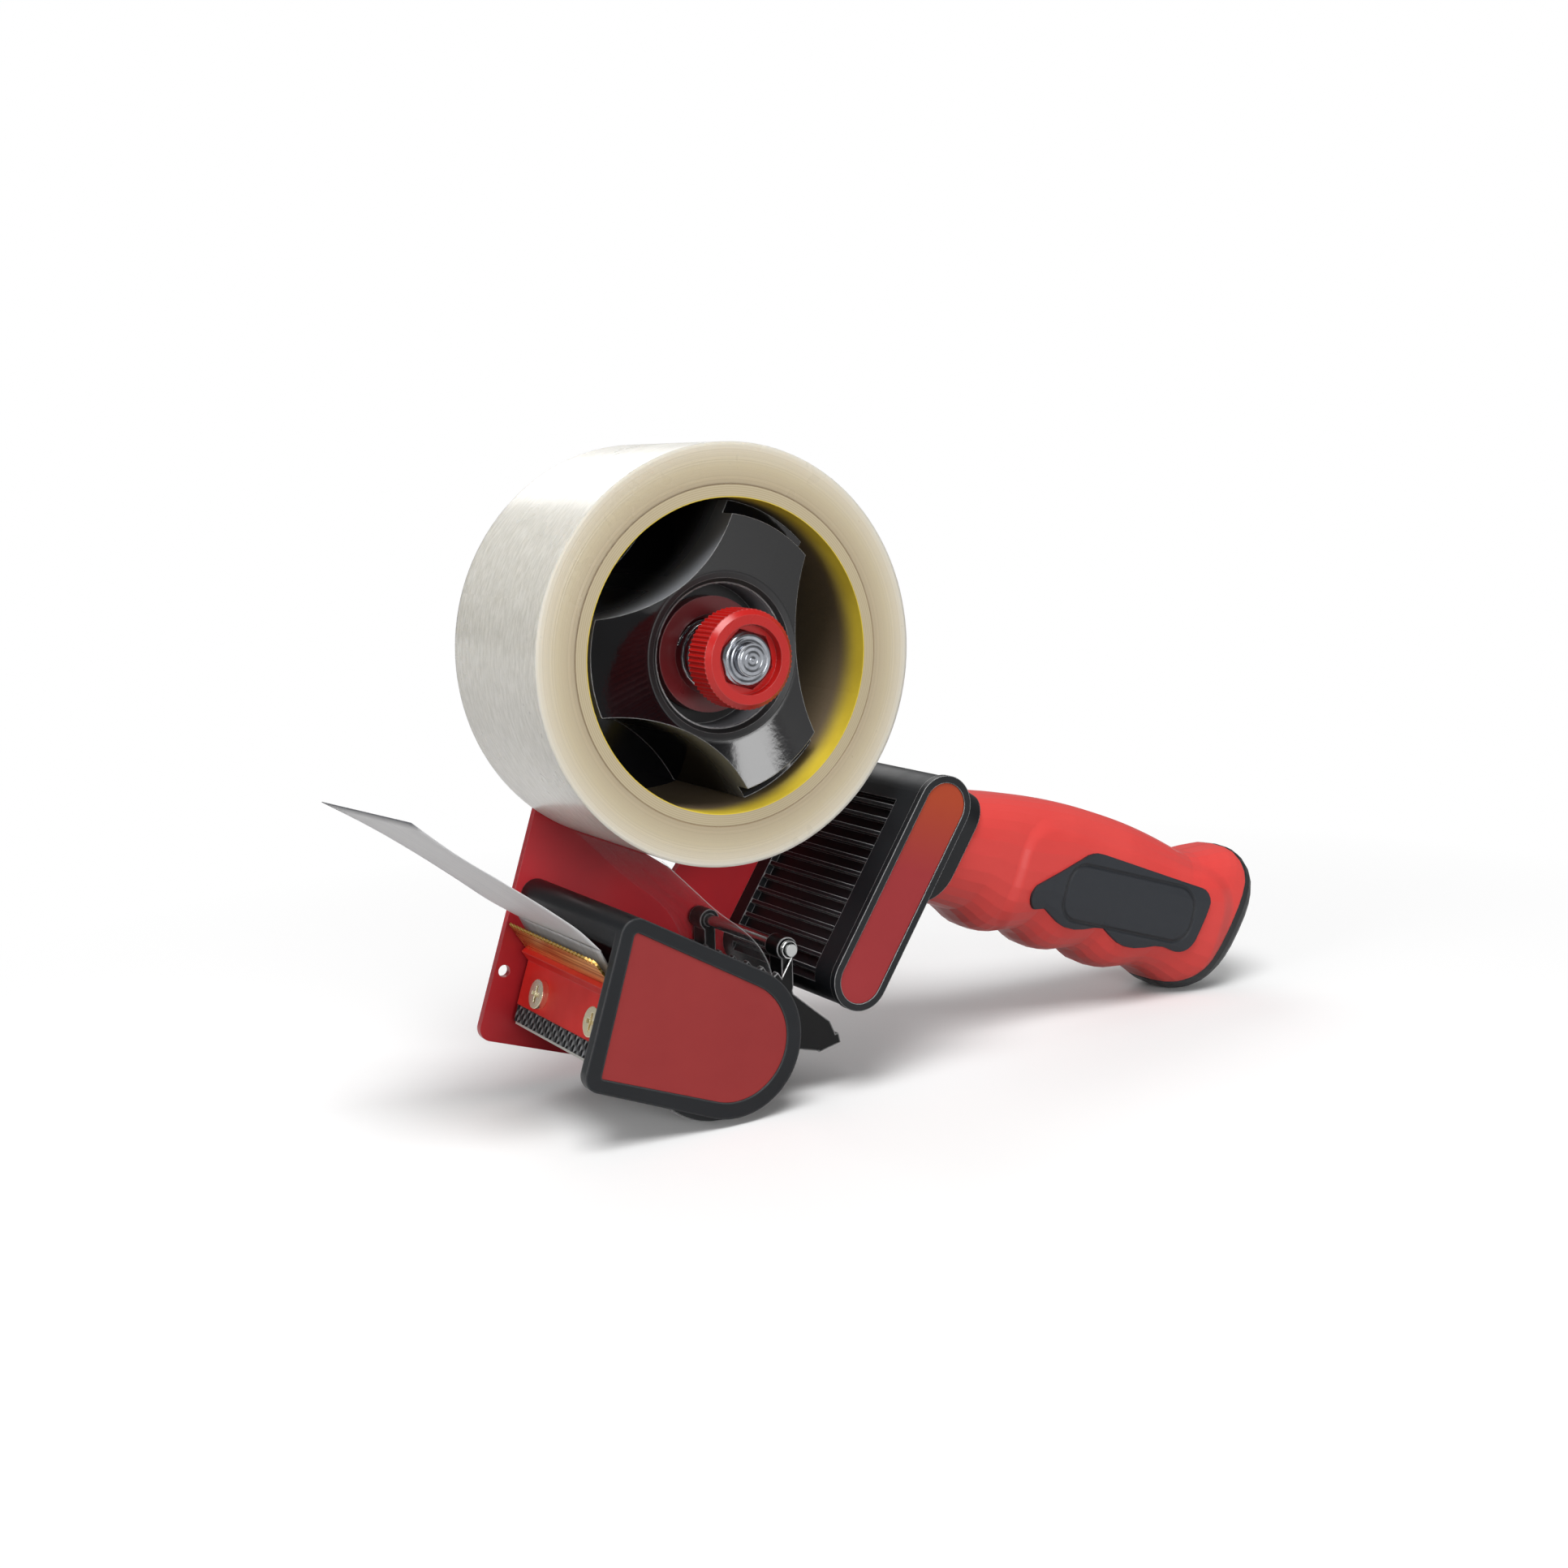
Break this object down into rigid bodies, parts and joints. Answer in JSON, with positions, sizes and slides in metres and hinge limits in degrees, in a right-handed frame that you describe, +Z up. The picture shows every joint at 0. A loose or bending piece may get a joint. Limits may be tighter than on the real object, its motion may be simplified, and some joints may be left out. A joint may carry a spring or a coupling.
{
  "type": "packing tape dispenser",
  "caption": "Pistol-grip packing-tape dispenser: steel side plate, three-lobed hub with tension knob, rubber roller, toothed blade, wiper, sprung retainer flap, padded grip, loaded roll.",
  "frame": {"origin": "centre of the standing tool's footprint box, on the table it stands on by its roller and the heel of its grip", "axes": "+Z up, +X from the blade and the free tape towards the end of the grip, +Y across the tape from the open near side to the frame plate"},
  "size_m": [0.2692, 0.069, 0.1655],
  "materials": {
    "red_paint": "glossy",
    "red_inlay": "satin",
    "black_nylon": "satin",
    "zinc_steel": "bright zinc",
    "yellow_steel": "yellow passivated",
    "wiper_rubber": "matt",
    "pale_plastic": "matt",
    "roller_rubber": "satin",
    "coral_plastic": "satin",
    "grip_rubber": "matt",
    "hub_black": "glossy",
    "cardboard": "matt",
    "wound_film": "glossy",
    "clear_film": "glossy",
    "felt": "matt",
    "cup_red": "satin",
    "knob_red": "satin",
    "plated_steel": "bright"
  },
  "bodies": {
    "frame": {"frame_plate": "red_paint", "plate_screws": "zinc_steel", "head_housing": "black_nylon", "head_side_panel": "red_inlay", "blade_bracket": "red_paint", "bracket_screws": "yellow_steel", "blade": "yellow_steel", "blade_rivets": "zinc_steel", "wiper_strip": "wiper_rubber", "wiper_backing": "pale_plastic", "roller_axle": "zinc_steel", "roller_spacers": "pale_plastic", "axle_screws": "zinc_steel", "flap_pin": "zinc_steel", "flap_spring": "zinc_steel", "rear_housing": "black_nylon", "rear_side_panel": "red_inlay", "grip_shell_near": "coral_plastic", "grip_shell_far": "coral_plastic", "grip_pad_near": "grip_rubber", "grip_pad_far": "grip_rubber", "butt_cap": "grip_rubber", "grip_screws": "zinc_steel", "hub_stud": "zinc_steel", "stud_nut": "plated_steel", "tape_web": "clear_film", "tape_tail": "clear_film", "pressure_cup": "cup_red", "brake_spring": "zinc_steel"},
    "reel": {"hub": "hub_black", "tape_core": "cardboard", "tape_roll": "wound_film", "brake_felt": "felt"},
    "roller": {"roller_core": "pale_plastic", "roller_sleeve": "roller_rubber"},
    "flap": {"retainer_flap": "black_nylon"},
    "washer": {"spring_washer": "plated_steel"},
    "knob": {"tension_knob": "knob_red", "lock_nut": "plated_steel"}
  },
  "joints": [
    {"name": "hub_spin", "type": "hinge", "parent": "frame", "child": "reel", "pos_m": [-0.04874, 0, 0.1143], "axis": [0, 1, 0], "continuous": true},
    {"name": "roller_spin", "type": "hinge", "parent": "frame", "child": "roller", "pos_m": [-0.05765, 0, 0.0205], "axis": [0, 1, 0], "continuous": true},
    {"name": "flap_hinge", "type": "hinge", "parent": "frame", "child": "flap", "pos_m": [-0.03471, 0, 0.03918], "axis": [0, -1, 0], "range_deg": [0, 11], "stiffness_Nm_per_rad": 0.03, "springref_deg": -20.05},
    {"name": "knob_slide", "type": "slide", "parent": "frame", "child": "washer", "axis": [0, 1, 0], "range_m": [0, 0.0015], "deforming": ["brake_spring"]},
    {"name": "knob_turn", "type": "hinge", "parent": "washer", "child": "knob", "pos_m": [-0.04874, 0, 0.1143], "axis": [0, 1, 0], "range_deg": [0, 430]}
  ],
  "couplings": [
    {"joint": "knob_slide", "follows": "knob_turn", "m_per_rad": 0.00019894}
  ]
}
